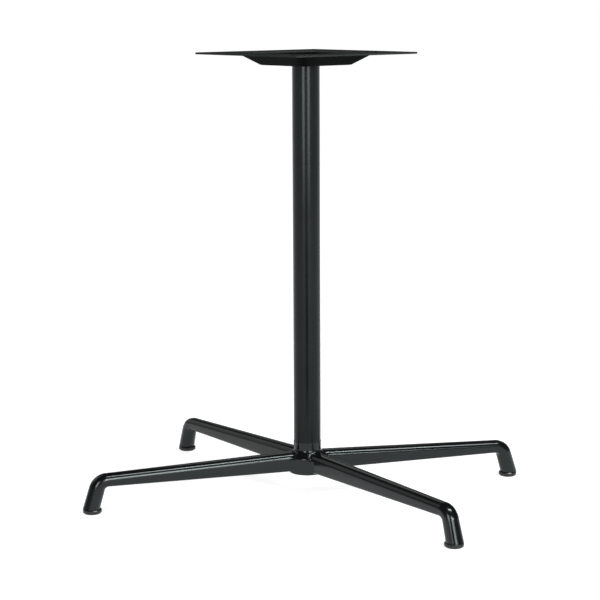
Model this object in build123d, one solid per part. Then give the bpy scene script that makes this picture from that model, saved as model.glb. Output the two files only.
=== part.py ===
from build123d import *
import math
import os

# Pedestal table base: a pressed top plate, a round column and a cast base with four arms.
# Millimetres, +Z up. The origin is on the floor under the column's axis, and +X runs along the long side
# of the rectangle that the four feet stand on. A tie rod inside the column clamps the three main pieces.

# Overall height and the stance of the four feet
base_height = 720.0
foot_reach = 358.0
arm_angle = 35.0

# Pressed top plate with its square pan and the round dimple that locates the column
plate_side = 250.0
plate_thickness = 3.0
plate_corner_radius = 3.0
plate_turn = -31.6
pan_mouth_side = 158.0
pan_floor_side = 110.0
pan_depth = 17.0
pan_corner_radius = 15.0
pan_bend_radius = 3.0
dimple_depth = 4.0
screw_hole_diameter = 7.0
screw_hole_inset = 18.0
plate_edge_chamfer = 0.6

# Column tube
tube_diameter = 44.0
tube_wall = 2.0
tube_fit_clearance = 0.4

# Tie rod with a nut and a washer at each end
rod_diameter = 12.0
rod_hole_clearance = 1.0
thread_clearance = 0.1
rod_end_chamfer = 1.0
rod_past_nut = 3.0
nut_across_flats = 18.0
nut_height = 10.0
nut_corner_chamfer = 0.8
washer_thickness = 2.5
washer_dimple_clearance = 3.6
washer_recess_clearance = 8.0

# Cast hub: boss underneath, flared top, collar that the tube stands on and spigot inside the tube
collar_height = 90.0
collar_step = 0.5
spigot_height = 25.0
spigot_chamfer = 2.0
hub_radius = 32.0
hub_rim_height = 66.0
hub_flare_height = 75.0
hub_flare_radius = 7.0
hub_rim_radius = 4.0
hub_bottom = 38.5
hub_bottom_chamfer = 1.5
recess_floor_height = 56.0

# Cast arms: heights, widths and corner radii along the run from the hub to the elbow
arm_top_at_hub = 73.8
arm_top_at_elbow = 62.6
arm_bottom_at_hub = 41.6
arm_bottom_at_elbow = 42.8
arm_width_at_hub = 28.5
arm_root_length = 62.0
arm_width_at_elbow = 24.0
arm_corner_top = 9.0
arm_corner_bottom = 4.0
flat_angle = 6.0
crease_radius = 5.0
crease_margin = 1.0

# Web between arms and hub: corner radii in plan, wide at front and back and narrow at the sides
web_radius_wide = 24.0
web_radius_narrow = 6.0
web_inset = 0.8
web_lift = 3.2
web_rim_chamfer = 1.5

# Elbow and stem that carry the arm down to the floor
elbow_radius = 18.0
stem_lean = 17.0
stem_diameter_at_elbow = 25.5
stem_diameter_at_foot = 27.6

# Cored channel under each arm
channel_wall = 6.0
channel_roof = 7.0
channel_from_hub = 12.0
channel_from_elbow = 14.0

# Push-in foot glides
glide_diameter = 30.0
glide_height = 7.0
glide_top_chamfer = 1.2
glide_bottom_chamfer = 2.0
glide_spigot_diameter = 8.0
glide_spigot_length = 13.0
glide_bore_clearance = 0.2
glide_bore_extra = 1.0
glide_inset = 1.7
stem_end_chamfer = 0.8

# Stations along the elbow
elbow_steps = 4

# How far a cutting tool runs past the faces that it cuts, and how near two faces count as one when joined
cut_past = 10.0
join_tolerance = 0.002

# Sizes worked out from the ones above
tube_bore = tube_diameter - 2 * tube_wall
rod_hole = rod_diameter + rod_hole_clearance
plate_underside = base_height - plate_thickness
pan_underside = plate_underside - pan_depth
pan_floor = pan_underside + plate_thickness
pan_lean = math.atan2(pan_depth, (pan_mouth_side - pan_floor_side) / 2)
pan_wall_shift = plate_thickness * math.tan(pan_lean / 2)
dimple_floor = pan_floor - dimple_depth
dimple_underside = dimple_floor - plate_thickness
dimple_diameter = tube_bore - tube_fit_clearance
dimple_hollow_diameter = dimple_diameter - 2 * plate_thickness
washer_diameter = dimple_hollow_diameter - washer_dimple_clearance
recess_diameter = washer_diameter + washer_recess_clearance
collar_radius = tube_diameter / 2 + collar_step
spigot_diameter = tube_bore - tube_fit_clearance
upper_nut_seat = dimple_floor + washer_thickness
lower_nut_seat = recess_floor_height - washer_thickness
rod_top = upper_nut_seat + nut_height + rod_past_nut
rod_bottom = lower_nut_seat - nut_height - rod_past_nut
elbow_turn = 90.0 - stem_lean
elbow_height = (arm_top_at_elbow + arm_bottom_at_elbow) / 2
elbow_end_height = elbow_height - elbow_radius * (1 - math.cos(math.radians(elbow_turn)))
stem_reach = foot_reach + glide_inset
stem_run = (elbow_end_height - glide_height) * math.tan(math.radians(stem_lean))
elbow_reach = stem_reach - stem_run - elbow_radius * math.sin(math.radians(elbow_turn))
rim_turn = math.atan2(hub_radius - collar_radius, hub_flare_height - hub_rim_height)
web_top = hub_rim_height - hub_rim_radius * math.tan(rim_turn / 2)
web_bottom = arm_bottom_at_hub + web_lift
web_reach = hub_radius + web_radius_wide
arm_width_at_web = arm_width_at_hub + (arm_width_at_elbow - arm_width_at_hub) * web_reach / elbow_reach
arm_angles = {
    "back_right": arm_angle,
    "back_left": 180.0 - arm_angle,
    "front_left": 180.0 + arm_angle,
    "front_right": 360.0 - arm_angle,
}


def rounded_square(side, corner, height):
    """A square face with rounded corners, level at the given height."""
    return Plane.XY.offset(height) * RectangleRounded(side, side, corner)


def standing_cylinder(diameter, bottom, height):
    """A cylinder on the Z axis that stands on the given height."""
    return Pos(0, 0, bottom) * Cylinder(diameter / 2, height, align=(Align.CENTER, Align.CENTER, Align.MIN))


def pan_form(inset, bend, top, bottom):
    """A solid frustum from the pan's mouth to its floor, each side drawn in by inset."""
    mouth = rounded_square(pan_mouth_side - 2 * inset, pan_corner_radius - inset, top)
    floor = rounded_square(pan_floor_side - 2 * inset, pan_corner_radius - inset, bottom)
    form = loft([mouth, floor])
    return fillet(form.faces().sort_by(Axis.Z)[0].edges(), bend)


def make_top_plate():
    """Square sheet with the pan and the dimple pressed down, drilled for the rod and the screws."""
    outer_bend = pan_bend_radius + plate_thickness
    plate = extrude(rounded_square(plate_side, plate_corner_radius, plate_underside), plate_thickness)
    plate += pan_form(0, outer_bend, plate_underside, pan_underside)
    underside = plate.faces().filter_by_position(Axis.Z, plate_underside, plate_underside)[0]
    plate = fillet(underside.inner_wires()[0].edges(), pan_bend_radius)
    plate += standing_cylinder(dimple_diameter, dimple_underside, pan_floor - dimple_underside)
    plate -= pan_form(pan_wall_shift, pan_bend_radius, base_height, pan_floor)
    top_face = plate.faces().sort_by(Axis.Z)[-1]
    plate = fillet(top_face.inner_wires()[0].edges(), outer_bend)
    outline = plate.faces().sort_by(Axis.Z)[-1].outer_wire().edges()
    plate = chamfer(outline, plate_edge_chamfer)
    plate -= standing_cylinder(dimple_hollow_diameter, dimple_floor, pan_depth)
    plate -= standing_cylinder(rod_hole, dimple_underside - cut_past, 2 * cut_past)
    screw_place = plate_side / 2 - screw_hole_inset
    for place in GridLocations(2 * screw_place, 2 * screw_place, 2, 2):
        plate -= place * standing_cylinder(screw_hole_diameter, plate_underside - cut_past, 2 * cut_past)
    return Rot(0, 0, plate_turn) * plate


def make_column_tube():
    """Round tube that stands on the collar and reaches up to the pan."""
    length = pan_underside - collar_height
    ring = Circle(tube_diameter / 2) - Circle(tube_bore / 2)
    return extrude(Plane.XY.offset(collar_height) * ring, length)


def quarter_points(half_width, half_depth, corner):
    """Points round a quarter of a section, for arcs that run smoothly into each other.

    A slightly crowned side, a corner of the given radius and half of a slightly crowned cap. Side and half
    cap each turn by flat_angle. The crown radii follow from the half sizes, and equal sizes give a circle.
    """
    flat = math.radians(flat_angle)
    rise = math.sin(flat)
    fall = 1 - math.cos(flat)
    spare_width = half_width - corner * (math.cos(flat) - rise)
    spare_depth = half_depth - corner * (math.cos(flat) - rise)
    side_radius = (rise * spare_depth - fall * spare_width) / (rise ** 2 - fall ** 2)
    cap_radius = (rise * spare_width - fall * spare_depth) / (rise ** 2 - fall ** 2)
    corner_x = half_width - side_radius + (side_radius - corner) * math.cos(flat)
    corner_y = (side_radius - corner) * rise
    quarter = math.pi / 2
    arcs = (
        (half_width - side_radius, 0.0, side_radius, (0.0, flat / 2, flat)),
        (corner_x, corner_y, corner, (quarter / 2,)),
        (0.0, half_depth - cap_radius, cap_radius, (quarter - flat, quarter)),
    )
    points = []
    for centre_x, centre_y, radius, angles in arcs:
        for angle in angles:
            points.append((centre_x + radius * math.cos(angle), centre_y + radius * math.sin(angle)))
    return points


def section_outline(width, depth, corner_top, corner_bottom):
    """Face of an arm's section, made of arcs, with its own corner radius above and below."""
    upper = quarter_points(width / 2, depth / 2, corner_top)
    lower = quarter_points(width / 2, depth / 2, corner_bottom)
    trip = upper + [(-x, y) for x, y in reversed(upper[:-1])]
    trip += [(-x, -y) for x, y in lower[1:]]
    trip += [(x, -y) for x, y in reversed(lower[:-1])]
    return make_face([ThreePointArc(*trip[start:start + 3]) for start in range(0, len(trip) - 2, 2)])


def arm_station(reach):
    """Section of the straight run of an arm at a distance from the column's axis."""
    share = reach / elbow_reach
    top = arm_top_at_hub + (arm_top_at_elbow - arm_top_at_hub) * share
    bottom = arm_bottom_at_hub + (arm_bottom_at_elbow - arm_bottom_at_hub) * share
    width = arm_width_at_hub + (arm_width_at_elbow - arm_width_at_hub) * share
    outline = section_outline(width, top - bottom, arm_corner_top, arm_corner_bottom)
    frame = Plane((reach, 0, (top + bottom) / 2), x_dir=(0, 1, 0), z_dir=(1, 0, 0))
    return frame * outline


def elbow_station(share):
    """Section on the elbow's arc, from the arm's end at share 0 to the stem's start at share 1."""
    turn = math.radians(elbow_turn * share)
    reach = elbow_reach + elbow_radius * math.sin(turn)
    height = elbow_height - elbow_radius * (1 - math.cos(turn))
    arm_depth = arm_top_at_elbow - arm_bottom_at_elbow
    width = arm_width_at_elbow + (stem_diameter_at_elbow - arm_width_at_elbow) * share
    depth = arm_depth + (stem_diameter_at_elbow - arm_depth) * share
    top = arm_corner_top + (stem_diameter_at_elbow / 2 - arm_corner_top) * share
    bottom = arm_corner_bottom + (stem_diameter_at_elbow / 2 - arm_corner_bottom) * share
    frame = Plane((reach, 0, height), x_dir=(0, 1, 0), z_dir=(math.cos(turn), 0, -math.sin(turn)))
    return frame * section_outline(width, depth, top, bottom)


def make_arm():
    """One arm along +X: root, tapered run, elbow and stem, ending level above its glide."""
    root = loft([arm_station(0), arm_station(arm_root_length)], ruled=True)
    run = loft([arm_station(arm_root_length), arm_station(elbow_reach)], ruled=True)
    elbow = loft([elbow_station(step / elbow_steps) for step in range(elbow_steps + 1)])
    turn = math.radians(elbow_turn)
    elbow_end = (elbow_reach + elbow_radius * math.sin(turn), 0, elbow_end_height)
    stem_top = Plane(elbow_end, x_dir=(0, 1, 0), z_dir=(math.cos(turn), 0, -math.sin(turn)))
    stem_foot = Plane((stem_reach, 0, glide_height), x_dir=(0, 1, 0), z_dir=(0, 0, -1))
    stem_ends = [stem_top * Circle(stem_diameter_at_elbow / 2), stem_foot * Circle(stem_diameter_at_foot / 2)]
    stem = loft(stem_ends, ruled=True)
    stem = chamfer(stem.edges().sort_by(Axis.Z)[0], stem_end_chamfer)
    return root + run + elbow + stem


def make_channel():
    """Cored channel along the underside of one arm, open downwards."""
    start = hub_radius + channel_from_hub
    end = elbow_reach - channel_from_elbow
    drop = (arm_top_at_hub - arm_top_at_elbow) / elbow_reach
    roof_start = arm_top_at_hub - drop * start - channel_roof
    roof_end = arm_top_at_hub - drop * end - channel_roof
    floor = arm_bottom_at_hub - channel_roof
    side = Plane.XZ * make_face(
        Polyline((start, floor), (start, roof_start), (end, roof_end), (end, floor), close=True)
    )
    width = arm_width_at_elbow - 2 * channel_wall
    return extrude(side, width / 2, both=True)


def make_hub():
    """Turned hub: boss, flared top, collar for the tube and spigot inside it."""
    profile = make_face(
        Polyline(
            (0, hub_bottom),
            (hub_radius - hub_bottom_chamfer, hub_bottom),
            (hub_radius, hub_bottom + hub_bottom_chamfer),
            (hub_radius, hub_rim_height),
            (collar_radius, hub_flare_height),
            (collar_radius, collar_height),
            (0, collar_height),
            close=True,
        )
    )
    rim = profile.vertices().sort_by_distance((hub_radius, hub_rim_height))[0]
    profile = fillet(rim, hub_rim_radius)
    flare = profile.vertices().sort_by_distance((collar_radius, hub_flare_height))[0]
    profile = fillet(flare, hub_flare_radius)
    hub = revolve(Plane.XZ * profile, Axis.Z)
    spigot = standing_cylinder(spigot_diameter, collar_height, spigot_height)
    return hub + chamfer(spigot.edges().sort_by(Axis.Z)[-1], spigot_chamfer)


def inner_corners(outline, wide):
    """Corners on the hub's circle, in the wide gaps between the arms or in the narrow ones."""
    corners = []
    for corner in outline.vertices():
        on_hub = math.hypot(corner.X, corner.Y) < hub_radius + crease_margin
        if on_hub and (abs(corner.Y) > abs(corner.X)) == wide:
            corners.append(corner)
    return corners


def make_web():
    """Web that sweeps the hub's wall into the sides of the arms, as seen from above."""
    outline = Sketch() + Circle(hub_radius)
    for angle in arm_angles.values():
        strip = Pos(web_reach / 2, 0) * Rectangle(web_reach, arm_width_at_web - 2 * web_inset)
        outline += Rot(0, 0, angle) * strip
    outline = fillet(inner_corners(outline, True), web_radius_wide)
    outline = fillet(inner_corners(outline, False), web_radius_narrow)
    web = extrude(Plane.XY.offset(web_bottom) * outline, web_top - web_bottom)
    return chamfer(web.faces().sort_by(Axis.Z)[-1].edges(), web_rim_chamfer)


def crease_edges(casting):
    """Edges where the arms run into the hub."""
    creases = []
    for edge in casting.edges():
        points = [edge.position_at(share) for share in (0, 0.5, 1)]
        reach = max(math.hypot(point.X, point.Y) for point in points)
        turned_or_straight = edge.geom_type in (GeomType.CIRCLE, GeomType.LINE)
        if reach < hub_radius + crease_margin and not turned_or_straight:
            creases.append(edge)
    return creases


def make_base_casting():
    """Hub and four arms in one casting, with the rod's hole, the nut's recess and the glides' bores."""
    arm = make_arm()
    channel = make_channel()
    bore_diameter = glide_spigot_diameter + glide_bore_clearance
    bore = Pos(foot_reach, 0, 0) * standing_cylinder(
        bore_diameter, glide_height - cut_past, cut_past + glide_spigot_length + glide_bore_extra
    )
    casting = make_hub()
    for angle in arm_angles.values():
        casting += Rot(0, 0, angle) * arm
    casting = fillet(crease_edges(casting), crease_radius).solid()
    casting = casting.fuse(make_web().solid(), tol=join_tolerance)
    for angle in arm_angles.values():
        casting -= Rot(0, 0, angle) * channel
        casting -= Rot(0, 0, angle) * bore
    casting -= standing_cylinder(recess_diameter, 0, recess_floor_height)
    return casting - standing_cylinder(rod_hole, 0, collar_height + spigot_height + cut_past)


def make_tie_rod():
    """Rod from the recess under the hub to the pan, chamfered at both ends."""
    rod = standing_cylinder(rod_diameter, rod_bottom, rod_top - rod_bottom)
    return chamfer(rod.edges().filter_by(GeomType.CIRCLE), rod_end_chamfer)


def make_washer(bottom):
    """Flat washer with its lower face at the given height."""
    ring = Circle(washer_diameter / 2) - Circle(rod_hole / 2)
    return extrude(Plane.XY.offset(bottom) * ring, washer_thickness)


def make_nut(bottom):
    """Hexagon nut with its lower face at the given height, corners turned off at both ends."""
    flats = RegularPolygon(nut_across_flats / 2, 6, major_radius=False)
    nut = extrude(Plane.XY.offset(bottom) * flats, nut_height)
    turned = standing_cylinder(2 * nut_across_flats / math.sqrt(3), bottom, nut_height)
    turned = chamfer(turned.edges().filter_by(GeomType.CIRCLE), nut_corner_chamfer)
    return (nut & turned) - standing_cylinder(rod_diameter + thread_clearance, bottom, nut_height)


def make_foot_glide(angle):
    """Round pad under one stem with a spigot that pushes into the stem's bore."""
    pad = standing_cylinder(glide_diameter, 0, glide_height)
    rims = pad.edges().filter_by(GeomType.CIRCLE).sort_by(Axis.Z)
    pad = chamfer(rims[-1], glide_top_chamfer)
    rims = pad.edges().filter_by(GeomType.CIRCLE).sort_by(Axis.Z)
    pad = chamfer(rims[0], glide_bottom_chamfer)
    spigot = standing_cylinder(glide_spigot_diameter, glide_height, glide_spigot_length)
    return Rot(0, 0, angle) * Pos(foot_reach, 0, 0) * (pad + spigot)


# Every piece by its name, written one file each
pieces = {
    "top_plate": make_top_plate(),
    "column_tube": make_column_tube(),
    "base_casting": make_base_casting(),
    "tie_rod": make_tie_rod(),
    "upper_washer": make_washer(dimple_floor),
    "upper_nut": make_nut(upper_nut_seat),
    "lower_washer": make_washer(lower_nut_seat),
    "lower_nut": make_nut(lower_nut_seat - nut_height),
}
for corner_name, corner_angle in arm_angles.items():
    pieces["foot_glide_" + corner_name] = make_foot_glide(corner_angle)

os.makedirs("parts", exist_ok=True)
for name, piece in pieces.items():
    export_step(piece, "parts/" + name + ".step")
    print(name, "volume", round(piece.volume), "mm3")
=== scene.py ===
# %% [markdown]
# # A pedestal table base in black powder coat
# The object is a table base without its top: a square pressed plate, a round steel column and a cast
# base whose arms end in small plastic glides. Its true shapes come from the CAD model, which is loaded
# here as a fixed frame in metres. This lesson gives it its finishes, cuts the thread on its tie rod, and
# lights and frames it as in the photograph.

# %% Load the frame
import math

import bpy
from mathutils import Matrix, Vector


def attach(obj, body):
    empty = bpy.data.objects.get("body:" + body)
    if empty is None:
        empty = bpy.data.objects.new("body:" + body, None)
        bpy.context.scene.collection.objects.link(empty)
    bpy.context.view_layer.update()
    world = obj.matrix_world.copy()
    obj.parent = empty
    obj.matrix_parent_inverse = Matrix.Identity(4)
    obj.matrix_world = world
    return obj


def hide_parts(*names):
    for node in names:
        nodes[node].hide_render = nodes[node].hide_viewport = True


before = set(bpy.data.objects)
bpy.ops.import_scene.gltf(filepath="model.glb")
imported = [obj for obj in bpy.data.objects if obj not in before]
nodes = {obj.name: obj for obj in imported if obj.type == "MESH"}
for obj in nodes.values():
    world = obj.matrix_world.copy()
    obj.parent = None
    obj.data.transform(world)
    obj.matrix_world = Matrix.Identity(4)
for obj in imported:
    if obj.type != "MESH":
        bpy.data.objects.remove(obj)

scene = bpy.context.scene
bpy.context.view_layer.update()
print("pieces loaded:", ", ".join(sorted(nodes)))


# %% [markdown]
# ## A short way to wire nodes
# Every finish below is a small graph of nodes, and each one needs the same few steps: add a node, set its
# values, join sockets. A few helpers keep those steps to one line each. All patterns read Object
# coordinates. Every piece sits at the origin unturned, so these are simply metres in the shared frame.

# %% Helpers for sums and ramps
def calc(tree, operation, *values):
    """One sum, from sockets or plain numbers."""
    step = tree.nodes.new("ShaderNodeMath")
    step.operation = operation
    for socket, value in zip(step.inputs, values):
        if isinstance(value, float):
            socket.default_value = value
        else:
            tree.links.new(value, socket)
    return step.outputs[0]


def ramp(graph, measure, start, end, at_start, at_end, shape="LINEAR"):
    """Goes from one value to another while a measure runs from start to end, and stays level beyond."""
    slope = graph.nodes.new("ShaderNodeMapRange")
    slope.interpolation_type = shape
    slope.inputs["From Min"].default_value = start
    slope.inputs["From Max"].default_value = end
    slope.inputs["To Min"].default_value = at_start
    slope.inputs["To Max"].default_value = at_end
    graph.links.new(measure, slope.inputs["Value"])
    return slope.outputs["Result"]


def split(graph, place):
    """The three coordinates of a place."""
    axes = graph.nodes.new("ShaderNodeSeparateXYZ")
    graph.links.new(place, axes.inputs[0])
    return axes.outputs


def distance_from_origin(graph, place):
    """How far a place lies from the origin."""
    length = graph.nodes.new("ShaderNodeVectorMath")
    length.operation = "LENGTH"
    graph.links.new(place, length.inputs[0])
    return length.outputs["Value"]


print("helpers for sums and ramps ready")

# %% Helpers for finishes
mix_first, mix_second, mix_result = 6, 7, 2  # a Mix node's colour sockets, which share their names with others
pattern_low, pattern_high = 0.3, 0.7  # nearly all of a noise pattern lies between these


def new_finish(name):
    """A material with its Principled shader, and the coordinates that its patterns read."""
    finish = bpy.data.materials.new(name)
    finish.use_nodes = True
    graph = finish.node_tree
    shader = graph.nodes["Principled BSDF"]
    place = graph.nodes.new("ShaderNodeTexCoord").outputs["Object"]
    return finish, graph, shader, place


def grain(graph, place, scale, detail, roughness=0.5):
    """A noise pattern whose grains are about one metre divided by scale."""
    noise = graph.nodes.new("ShaderNodeTexNoise")
    noise.inputs["Scale"].default_value = scale
    noise.inputs["Detail"].default_value = detail
    noise.inputs["Roughness"].default_value = roughness
    graph.links.new(place, noise.inputs["Vector"])
    return noise.outputs["Fac"]


def spread(graph, pattern, low, high):
    """Maps a pattern's middle range onto the values from low to high."""
    return ramp(graph, pattern, pattern_low, pattern_high, low, high)


def blend(graph, factor, first, second):
    """A colour between two others, each a plain colour or a socket."""
    mix = graph.nodes.new("ShaderNodeMix")
    mix.data_type = "RGBA"
    for index, colour in ((mix_first, first), (mix_second, second)):
        if isinstance(colour, tuple):
            mix.inputs[index].default_value = (*colour, 1.0)
        else:
            graph.links.new(colour, mix.inputs[index])
    graph.links.new(factor, mix.inputs["Factor"])
    return mix.outputs[mix_result]


def two_tone(graph, pattern, dark, light):
    """A colour that wanders between dark and light with a pattern."""
    return blend(graph, spread(graph, pattern, 0.0, 1.0), dark, light)


def raise_surface(graph, pattern, height, strength):
    """A bump of the given height in metres."""
    bump = graph.nodes.new("ShaderNodeBump")
    bump.inputs["Strength"].default_value = strength
    bump.inputs["Distance"].default_value = height
    graph.links.new(pattern, bump.inputs["Height"])
    return bump.outputs["Normal"]


print("helpers for finishes ready")


# %% [markdown]
# ## Black powder coat
# The plate, the column and the casting are sprayed with dry paint and baked. The coat is nearly black
# with a cool cast, half glossy, and its surface is faintly rippled, like the peel of an orange. An image
# could carry the ripple, but noise needs no unwrapping and shows no seams. One function makes the coat,
# because the three pieces differ only a little: the casting under the paint is rougher than the drawn
# tube, and the plate got the thinnest, mattest layer.

# %% Powder coat
cloud_scale, cloud_detail = 14.0, 3.0
peel_scale, peel_detail, peel_height = 900.0, 2.0, 0.0001
dark_cast = (0.72, 0.80, 0.80)
light_cast = (1.05, 1.18, 1.18)
shine_cast = (0.88, 1.0, 1.0, 1.0)


def powder_coat(name, tone, gloss_low, gloss_high, ior, ripple):
    """Semi-gloss black paint: slow changes of tone and gloss, and a fine ripple."""
    finish, graph, shader, place = new_finish(name)
    clouds = grain(graph, place, cloud_scale, cloud_detail)
    peel = grain(graph, place, peel_scale, peel_detail)
    dark = tuple(tone * part for part in dark_cast)
    light = tuple(tone * part for part in light_cast)
    graph.links.new(two_tone(graph, clouds, dark, light), shader.inputs["Base Color"])
    graph.links.new(spread(graph, clouds, gloss_low, gloss_high), shader.inputs["Roughness"])
    graph.links.new(raise_surface(graph, peel, peel_height, ripple), shader.inputs["Normal"])
    shader.inputs["IOR"].default_value = ior
    shader.inputs["Specular Tint"].default_value = shine_cast
    return finish


coats = {
    "column_tube": powder_coat(
        "column_coat", tone=0.007, gloss_low=0.17, gloss_high=0.22, ior=1.27, ripple=0.10
    ),
    "base_casting": powder_coat(
        "casting_coat", tone=0.0045, gloss_low=0.15, gloss_high=0.20, ior=1.41, ripple=0.16
    ),
    "top_plate": powder_coat(
        "plate_coat", tone=0.0032, gloss_low=0.50, gloss_high=0.58, ior=1.05, ripple=0.12
    ),
}
for name, coat in coats.items():
    nodes[name].data.materials[0] = coat
    print(name, "coated with", coat.name)


# %% [markdown]
# ## A painted highlight on the plate's rim
# In the photograph the plate's thin rim and its upper face are a shade lighter than the pan below them.
# They could be given a material of their own, but the plate is one painted sheet. Their lightness is painted
# light: a highlight along the rim and a reflection of the pale ground on the upper face. It is painted into
# the one coat by height, as a lighter band for the rim and a lighter band for the upper face.

# %% Painted highlight on the plate rim
# height bands and tones of the painted highlight on the plate's rim and upper face
rim_low, rim_high, face_high = 0.7171, 0.7198, 0.7210
rim_highlight_tone, face_highlight_tone = 0.035, 0.015
rim_red_share = 0.92


def paint_rim_highlight(coat):
    """Paints a highlight into the coat: lighter paint in the height bands of the plate's rim and of its upper
    face.
    """
    graph = coat.node_tree
    colour_socket = graph.nodes["Principled BSDF"].inputs["Base Color"]
    paint = colour_socket.links[0].from_socket
    height = split(graph, graph.nodes["Texture Coordinate"].outputs["Object"])["Z"]
    # each band mixes in a painted highlight tone, which stands in for light the rim and upper face catch
    for low, high, tone in ((rim_low, rim_high, rim_highlight_tone), (rim_high, face_high, face_highlight_tone)):
        band = calc(graph, "COMPARE", height, (low + high) / 2, (high - low) / 2)
        paint = blend(graph, band, paint, (rim_red_share * tone, tone, tone))
    graph.links.new(paint, colour_socket)


paint_rim_highlight(coats["top_plate"])
print("plate's rim lightened from", rim_low, "m up")


# %% [markdown]
# ## Zinc-plated fasteners
# The rod, nuts and washers inside the base are plain steel with a thin bright zinc layer. Zinc is a
# metal, so nearly all of its colour comes from reflections. A plain metal would look too clean, so one
# noise pattern blotches its colour and its gloss together.

# %% Zinc plate
blotch_scale, blotch_detail, blotch_roughness = 160.0, 4.0, 0.6
zinc_dark = (0.46, 0.46, 0.47)
zinc_light = (0.60, 0.61, 0.62)
zinc_gloss_low, zinc_gloss_high = 0.30, 0.45


def zinc_plate():
    """Bright plated steel with a faint blotch."""
    finish, graph, shader, place = new_finish("zinc_plate")
    blotch = grain(graph, place, blotch_scale, blotch_detail, blotch_roughness)
    graph.links.new(two_tone(graph, blotch, zinc_dark, zinc_light), shader.inputs["Base Color"])
    graph.links.new(spread(graph, blotch, zinc_gloss_low, zinc_gloss_high), shader.inputs["Roughness"])
    shader.inputs["Metallic"].default_value = 1.0
    return finish


zinc = zinc_plate()
fastener_names = ("tie_rod", "upper_washer", "upper_nut", "lower_washer", "lower_nut")
for name in fastener_names:
    nodes[name].data.materials[0] = zinc
print(len(fastener_names), "fasteners plated")


# %% [markdown]
# ## The thread on the tie rod
# A long rod runs down the column and pulls the plate, tube and casting together. Only its two ends show,
# in the plate's dimple and under the hub, and there it is threaded for the nuts. A thread repeats the
# same groove with every turn, so Geometry Nodes can cut it by rule: take a cylinder with many rings, and
# move each point inwards by a zigzag that climbs one pitch per turn. A boolean cut would give the same
# groove with far more trouble. Near both ends of the thread the ridge fades to the root, as a cut thread
# does.

# %% Rod blank
rod_sides = 32


def rod_cylinder(tree, sizes, middle, length, rings=None):
    """A smooth cylinder on the rod's axis, by the height of its middle."""
    body = tree.nodes.new("GeometryNodeMeshCylinder")
    body.inputs["Vertices"].default_value = rod_sides
    tree.links.new(sizes["Rod Radius"], body.inputs["Radius"])
    tree.links.new(length, body.inputs["Depth"])
    if rings is not None:
        tree.links.new(rings, body.inputs["Side Segments"])
    smooth = tree.nodes.new("GeometryNodeSetShadeSmooth")
    tree.links.new(body.outputs["Mesh"], smooth.inputs["Geometry"])
    tree.links.new(body.outputs["Side"], smooth.inputs["Selection"])
    shift = tree.nodes.new("ShaderNodeCombineXYZ")
    tree.links.new(middle, shift.inputs["Z"])
    lift = tree.nodes.new("GeometryNodeTransform")
    tree.links.new(smooth.outputs["Geometry"], lift.inputs["Geometry"])
    tree.links.new(shift.outputs[0], lift.inputs["Translation"])
    return lift.outputs["Geometry"]


print("a rod blank has", rod_sides, "sides")

# %% Thread groove
def cut_thread(tree, sizes, body, low, high):
    """Moves the points between two heights inwards by a zigzag that climbs one pitch per turn."""
    across, along, height = split(tree, tree.nodes.new("GeometryNodeInputPosition").outputs[0])
    turn = calc(tree, "DIVIDE", calc(tree, "ARCTAN2", along, across), math.tau)
    climb = calc(tree, "DIVIDE", height, sizes["Pitch"])
    phase = calc(tree, "FRACT", calc(tree, "SUBTRACT", climb, turn))
    ridge = calc(tree, "MULTIPLY", calc(tree, "ABSOLUTE", calc(tree, "SUBTRACT", phase, 0.5)), 2.0)
    above, below = calc(tree, "SUBTRACT", height, low), calc(tree, "SUBTRACT", high, height)
    from_end = calc(tree, "DIVIDE", calc(tree, "MINIMUM", above, below), sizes["Pitch"])
    fade = calc(tree, "MINIMUM", calc(tree, "MAXIMUM", from_end, 0.0), 1.0)
    open_share = calc(tree, "SUBTRACT", 1.0, calc(tree, "MULTIPLY", ridge, fade))
    groove = calc(tree, "MULTIPLY", open_share, sizes["Thread Depth"])
    shrink = calc(tree, "SUBTRACT", 1.0, calc(tree, "DIVIDE", groove, sizes["Rod Radius"]))
    moved = tree.nodes.new("ShaderNodeCombineXYZ")
    tree.links.new(calc(tree, "MULTIPLY", across, shrink), moved.inputs["X"])
    tree.links.new(calc(tree, "MULTIPLY", along, shrink), moved.inputs["Y"])
    tree.links.new(height, moved.inputs["Z"])
    cut = tree.nodes.new("GeometryNodeSetPosition")
    tree.links.new(body, cut.inputs["Geometry"])
    tree.links.new(moved.outputs[0], cut.inputs["Position"])
    return cut.outputs["Geometry"]


print("thread groove ready")

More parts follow.
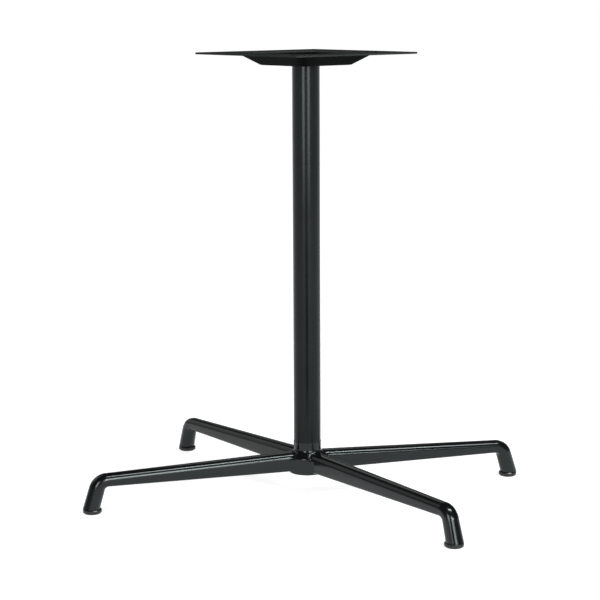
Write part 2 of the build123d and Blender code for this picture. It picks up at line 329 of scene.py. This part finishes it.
# %% Rod tree
def threaded_rod():
    """The tree that builds the rod: a plain shank between two threaded ends."""
    tree = bpy.data.node_groups.new("threaded_rod", "GeometryNodeTree")
    for title in ("Rod Radius", "Thread Depth", "Pitch", "Thread Length", "Rod Bottom", "Rod Top"):
        tree.interface.new_socket(title, in_out="INPUT", socket_type="NodeSocketFloat")
    tree.interface.new_socket("Rings", in_out="INPUT", socket_type="NodeSocketInt")
    tree.interface.new_socket("Finish", in_out="INPUT", socket_type="NodeSocketMaterial")
    tree.interface.new_socket("Geometry", in_out="OUTPUT", socket_type="NodeSocketGeometry")
    sizes = tree.nodes.new("NodeGroupInput").outputs
    bottom, top, run = sizes["Rod Bottom"], sizes["Rod Top"], sizes["Thread Length"]

    half = calc(tree, "DIVIDE", run, 2.0)
    low_end, high_end = calc(tree, "ADD", bottom, run), calc(tree, "SUBTRACT", top, run)
    lower = rod_cylinder(tree, sizes, calc(tree, "ADD", bottom, half), run, sizes["Rings"])
    upper = rod_cylinder(tree, sizes, calc(tree, "SUBTRACT", top, half), run, sizes["Rings"])
    middle = calc(tree, "DIVIDE", calc(tree, "ADD", bottom, top), 2.0)
    shank = rod_cylinder(tree, sizes, middle, calc(tree, "SUBTRACT", high_end, low_end))
    lower = cut_thread(tree, sizes, lower, bottom, low_end)
    upper = cut_thread(tree, sizes, upper, high_end, top)

    joined = tree.nodes.new("GeometryNodeJoinGeometry")
    for body in (lower, shank, upper):
        tree.links.new(body, joined.inputs[0])
    real = tree.nodes.new("GeometryNodeRealizeInstances")
    tree.links.new(joined.outputs[0], real.inputs[0])
    plated = tree.nodes.new("GeometryNodeSetMaterial")
    tree.links.new(real.outputs[0], plated.inputs["Geometry"])
    tree.links.new(sizes["Finish"], plated.inputs["Material"])
    tree.links.new(plated.outputs[0], tree.nodes.new("NodeGroupOutput").inputs[0])
    return tree


rod_tree = threaded_rod()
print("rod tree built with", len(rod_tree.nodes), "nodes")

# %% Cut the thread
thread_depth = 0.00095
thread_pitch = 0.00175
thread_length = 0.045
rings_per_turn = 6

rod_corners = [Vector(corner) for corner in nodes["tie_rod"].bound_box]
rod_values = {
    "Rod Radius": max(corner.x for corner in rod_corners),
    "Thread Depth": thread_depth,
    "Pitch": thread_pitch,
    "Thread Length": thread_length,
    "Rod Bottom": min(corner.z for corner in rod_corners),
    "Rod Top": max(corner.z for corner in rod_corners),
    "Rings": rings_per_turn * round(thread_length / thread_pitch),
    "Finish": zinc,
}
blank = bpy.data.objects.new("rod_blank", bpy.data.meshes.new("rod_blank"))
scene.collection.objects.link(blank)
cutter = blank.modifiers.new("thread", "NODES")
cutter.node_group = rod_tree
for socket in rod_tree.interface.items_tree:
    if socket.in_out == "INPUT":
        cutter[socket.identifier] = rod_values[socket.name]
rod_mesh = bpy.data.meshes.new_from_object(blank.evaluated_get(bpy.context.evaluated_depsgraph_get()))
bpy.data.objects.remove(blank)
rod = bpy.data.objects.new("threaded_tie_rod", rod_mesh)
scene.collection.objects.link(rod)
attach(rod, "root")
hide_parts("tie_rod")
print("rod cut:", len(rod_mesh.polygons), "faces from", rod_values["Rod Bottom"], "to", rod_values["Rod Top"])


# %% [markdown]
# ## Moulded glides
# The glides are black plastic pushed into the stems. Plastic straight from the mould is a little lighter
# than the paint above it, with a very fine even grain. The CAD shape is right, so only the finish is
# made: one pattern for slight scuffs in tone and gloss, and a much finer one for the grain.

# %% Glide plastic
scuff_scale, scuff_detail = 220.0, 4.0
mould_scale, mould_detail, mould_height, mould_strength = 2600.0, 1.0, 0.00005, 0.15
plastic_dark = (0.009, 0.010, 0.010)
plastic_light = (0.016, 0.0175, 0.018)
plastic_gloss_low, plastic_gloss_high = 0.24, 0.34
plastic_shine = 0.35


def glide_plastic():
    """Black plastic with slight scuffs and a fine grain."""
    finish, graph, shader, place = new_finish("glide_plastic")
    scuff = grain(graph, place, scuff_scale, scuff_detail)
    fine = grain(graph, place, mould_scale, mould_detail)
    graph.links.new(two_tone(graph, scuff, plastic_dark, plastic_light), shader.inputs["Base Color"])
    graph.links.new(spread(graph, scuff, plastic_gloss_low, plastic_gloss_high), shader.inputs["Roughness"])
    graph.links.new(raise_surface(graph, fine, mould_height, mould_strength), shader.inputs["Normal"])
    shader.inputs["Specular IOR Level"].default_value = plastic_shine
    return finish


plastic = glide_plastic()
glide_names = sorted(name for name in nodes if name.startswith("foot_glide"))
for name in glide_names:
    nodes[name].data.materials[0] = plastic
print(len(glide_names), "glides moulded")


# %% [markdown]
# ## Floor and wall
# The photograph's ground is plain white. More light would whiten a floor too, but it would also wash out
# the object. So the paper glows for the camera and for reflections only, and under that glow it is a
# plain grey that takes the base's soft shadow. The glow is weaker near the base, where the lamps already
# light the paper. A low wall far away closes the horizon.

# %% White paper
floor_glow_near, floor_glow_far = 0.84, 1.0
glow_rise_start, glow_rise_end = 0.8, 2.4
floor_tone = 0.45


def white_paper():
    """Matt grey paper that glows white for the camera and in reflections."""
    paper = bpy.data.materials.new("white_paper")
    paper.use_nodes = True
    graph = paper.node_tree
    graph.nodes.clear()
    matte = graph.nodes.new("ShaderNodeBsdfDiffuse")
    matte.inputs["Color"].default_value = (floor_tone, floor_tone, floor_tone, 1.0)
    rays = graph.nodes.new("ShaderNodeLightPath").outputs
    seen = calc(graph, "MAXIMUM", rays["Is Camera Ray"], rays["Is Glossy Ray"])
    seen = calc(graph, "MAXIMUM", seen, rays["Is Transmission Ray"])
    span = distance_from_origin(graph, graph.nodes.new("ShaderNodeTexCoord").outputs["Object"])
    rise = ramp(graph, span, glow_rise_start, glow_rise_end, floor_glow_near, floor_glow_far)
    glow = graph.nodes.new("ShaderNodeEmission")
    graph.links.new(calc(graph, "MULTIPLY", seen, rise), glow.inputs["Strength"])
    both = graph.nodes.new("ShaderNodeAddShader")
    graph.links.new(matte.outputs[0], both.inputs[0])
    graph.links.new(glow.outputs[0], both.inputs[1])
    out = graph.nodes.new("ShaderNodeOutputMaterial")
    graph.links.new(both.outputs[0], out.inputs["Surface"])
    return paper


paper = white_paper()
print("paper made:", paper.name)

# %% Floor and wall
floor_half_width = 500.0
wall_radius = 400.0
wall_height = 3.0
wall_sides = 96

bpy.ops.mesh.primitive_plane_add(size=2 * floor_half_width)
floor = bpy.context.object
floor.name = "studio_floor"
floor.data.materials.append(paper)

bpy.ops.mesh.primitive_cylinder_add(
    vertices=wall_sides,
    radius=wall_radius,
    depth=wall_height,
    end_fill_type="NOTHING",
    location=(0.0, 0.0, wall_height / 2),
)
wall = bpy.context.object
wall.name = "studio_wall"
wall.data.materials.append(paper)
print("floor laid and wall put up")


# %% [markdown]
# ## The room
# Glossy black shows little but its surroundings. An even grey world would lie over the whole coat like a
# veil, so the room has pale walls and a dark ceiling: the sides of the arms stay open, and their tops
# stay dark between the lines that the lamps draw.

# %% Room
wall_grey, ceiling_grey = 0.30, 0.02
wall_top, ceiling_edge = 0.03, 0.33  # heights on the unit ball of directions

world = bpy.data.worlds.new("studio_room")
scene.world = world
world.use_nodes = True
graph = world.node_tree
upwards = split(graph, graph.nodes.new("ShaderNodeTexCoord").outputs["Generated"])["Z"]
room_tone = ramp(graph, upwards, wall_top, ceiling_edge, wall_grey, ceiling_grey, "SMOOTHSTEP")
graph.links.new(room_tone, graph.nodes["Background"].inputs["Color"])
scene.view_settings.view_transform = "Standard"
print("room goes from", wall_grey, "to", ceiling_grey)


# %% [markdown]
# ## Lamps
# Two upright strips left and right of the camera draw the two soft lines on the column and on the near
# stem. A key lamp at the right and one overhead draw the bright lines along the arms, and two weak cards,
# behind and at the left, open up the sides that face away. Points or suns would give hard spots on a
# glossy coat, so all of them are rectangles with a real size. Each is placed by its turn from the camera.

# %% Lamps
camera_azimuth = 17.615
column_aim = 0.95
arm_aim = 0.07


def around(offset, distance, height):
    """A place by its turn from the camera in degrees, its distance from the column and its height."""
    turn = math.radians(camera_azimuth + offset)
    return Vector((distance * math.sin(turn), -distance * math.cos(turn), height))


def softbox(name, offset, distance, height, width, length, brightness, target, along):
    """A rectangular soft lamp that faces a height on the column's axis.

    along is the direction of its width, in degrees round from the camera's right.
    """
    lamp = bpy.data.objects.new(name, bpy.data.lights.new(name, "AREA"))
    lamp.data.shape = "RECTANGLE"
    lamp.data.size = width
    lamp.data.size_y = length
    lamp.data.energy = brightness * math.pi * width * length
    stand = around(offset, distance, height)
    back = (stand - Vector((0.0, 0.0, target))).normalized()
    swing = math.radians(camera_azimuth + along)
    right = Vector((math.cos(swing), math.sin(swing), 0.0))
    right = (right - right.dot(back) * back).normalized()
    axes = Matrix((right, back.cross(right), back)).transposed()
    lamp.matrix_world = Matrix.Translation(stand) @ axes.to_4x4()
    scene.collection.objects.link(lamp)
    print(name, "shines with", round(lamp.data.energy, 1), "W")


for name, side in (("strip_left", -21.0), ("strip_right", 21.0)):
    softbox(
        name, offset=side, distance=2.6, height=0.95,
        width=0.80, length=1.3, brightness=8.4, target=column_aim, along=side,
    )
softbox(
    "key", offset=31.0, distance=4.25, height=1.56,
    width=1.9, length=0.45, brightness=21.0, target=arm_aim, along=27.0,
)
softbox(
    "overhead", offset=62.7, distance=1.86, height=4.27,
    width=2.3, length=0.60, brightness=32.0, target=arm_aim, along=19.7,
)
softbox(
    "back_card", offset=180.0, distance=5.0, height=2.04,
    width=1.4, length=0.50, brightness=0.65, target=arm_aim, along=0.0,
)
softbox(
    "side_card", offset=-122.0, distance=3.06, height=1.77,
    width=3.2, length=2.4, brightness=0.65, target=arm_aim, along=-122.0,
)


# %% [markdown]
# ## A dark card
# Between its two light strips the column shows a thin dark line from top to bottom. A line painted on the
# tube would stay there in every view. In a studio such a line is the reflection of something dark, so a
# black card lies on the floor in front, between the strips. Only reflections see it.

# %% Dark card
card_near, card_far = 0.62, 3.6
card_half_angle = 10.5
card_height = 0.003
felt_tone = 0.01

felt = bpy.data.materials.new("black_felt")
felt.use_nodes = True
felt_shader = felt.node_tree.nodes["Principled BSDF"]
felt_shader.inputs["Base Color"].default_value = (felt_tone, felt_tone, felt_tone, 1.0)
felt_shader.inputs["Roughness"].default_value = 1.0
card_corners = [
    around(-card_half_angle, card_near, card_height),
    around(card_half_angle, card_near, card_height),
    around(card_half_angle, card_far, card_height),
    around(-card_half_angle, card_far, card_height),
]
card_mesh = bpy.data.meshes.new("black_card")
card_mesh.from_pydata(card_corners, [], [(0, 1, 2, 3)])
card_mesh.materials.append(felt)
card = bpy.data.objects.new("black_card", card_mesh)
scene.collection.objects.link(card)
card.visible_camera = False
card.visible_diffuse = False
card.visible_shadow = False
print("dark card laid from", card_near, "to", card_far, "m in front")


# %% [markdown]
# ## Camera
# A long lens a little above the plate's height gives the photograph's view: the plate shows as a thin
# sliver and the arms spread below. Distance, height, tilt and focal length come from matching the
# column, the feet and the plate's corners with the picture. Setting them by eye would leave the arms
# pointing slightly wrong.

# %% Camera
camera_distance = 2.7507
camera_height = 0.8021
camera_pitch = 9.875
camera_yaw = -0.228
camera_roll = -0.271
picture_width = 600
focal_pixels = 1727.5
sensor_width = 36.0
farthest_seen = 2000.0

camera = bpy.data.objects.new("camera", bpy.data.cameras.new("camera"))
scene.collection.objects.link(camera)
scene.camera = camera
camera.data.sensor_fit = "HORIZONTAL"
camera.data.sensor_width = sensor_width
camera.data.lens = sensor_width * focal_pixels / picture_width
camera.data.clip_end = farthest_seen
stand = Matrix.Rotation(math.radians(camera_azimuth), 4, "Z")
stand = stand @ Matrix.Translation((0.0, -camera_distance, camera_height))
stand = stand @ Matrix.Rotation(math.radians(-camera_yaw), 4, "Z")
stand = stand @ Matrix.Rotation(math.radians(90.0 - camera_pitch), 4, "X")
stand = stand @ Matrix.Rotation(math.radians(camera_roll), 4, "Z")
camera.matrix_world = stand
print("camera at", [round(value, 3) for value in camera.location])
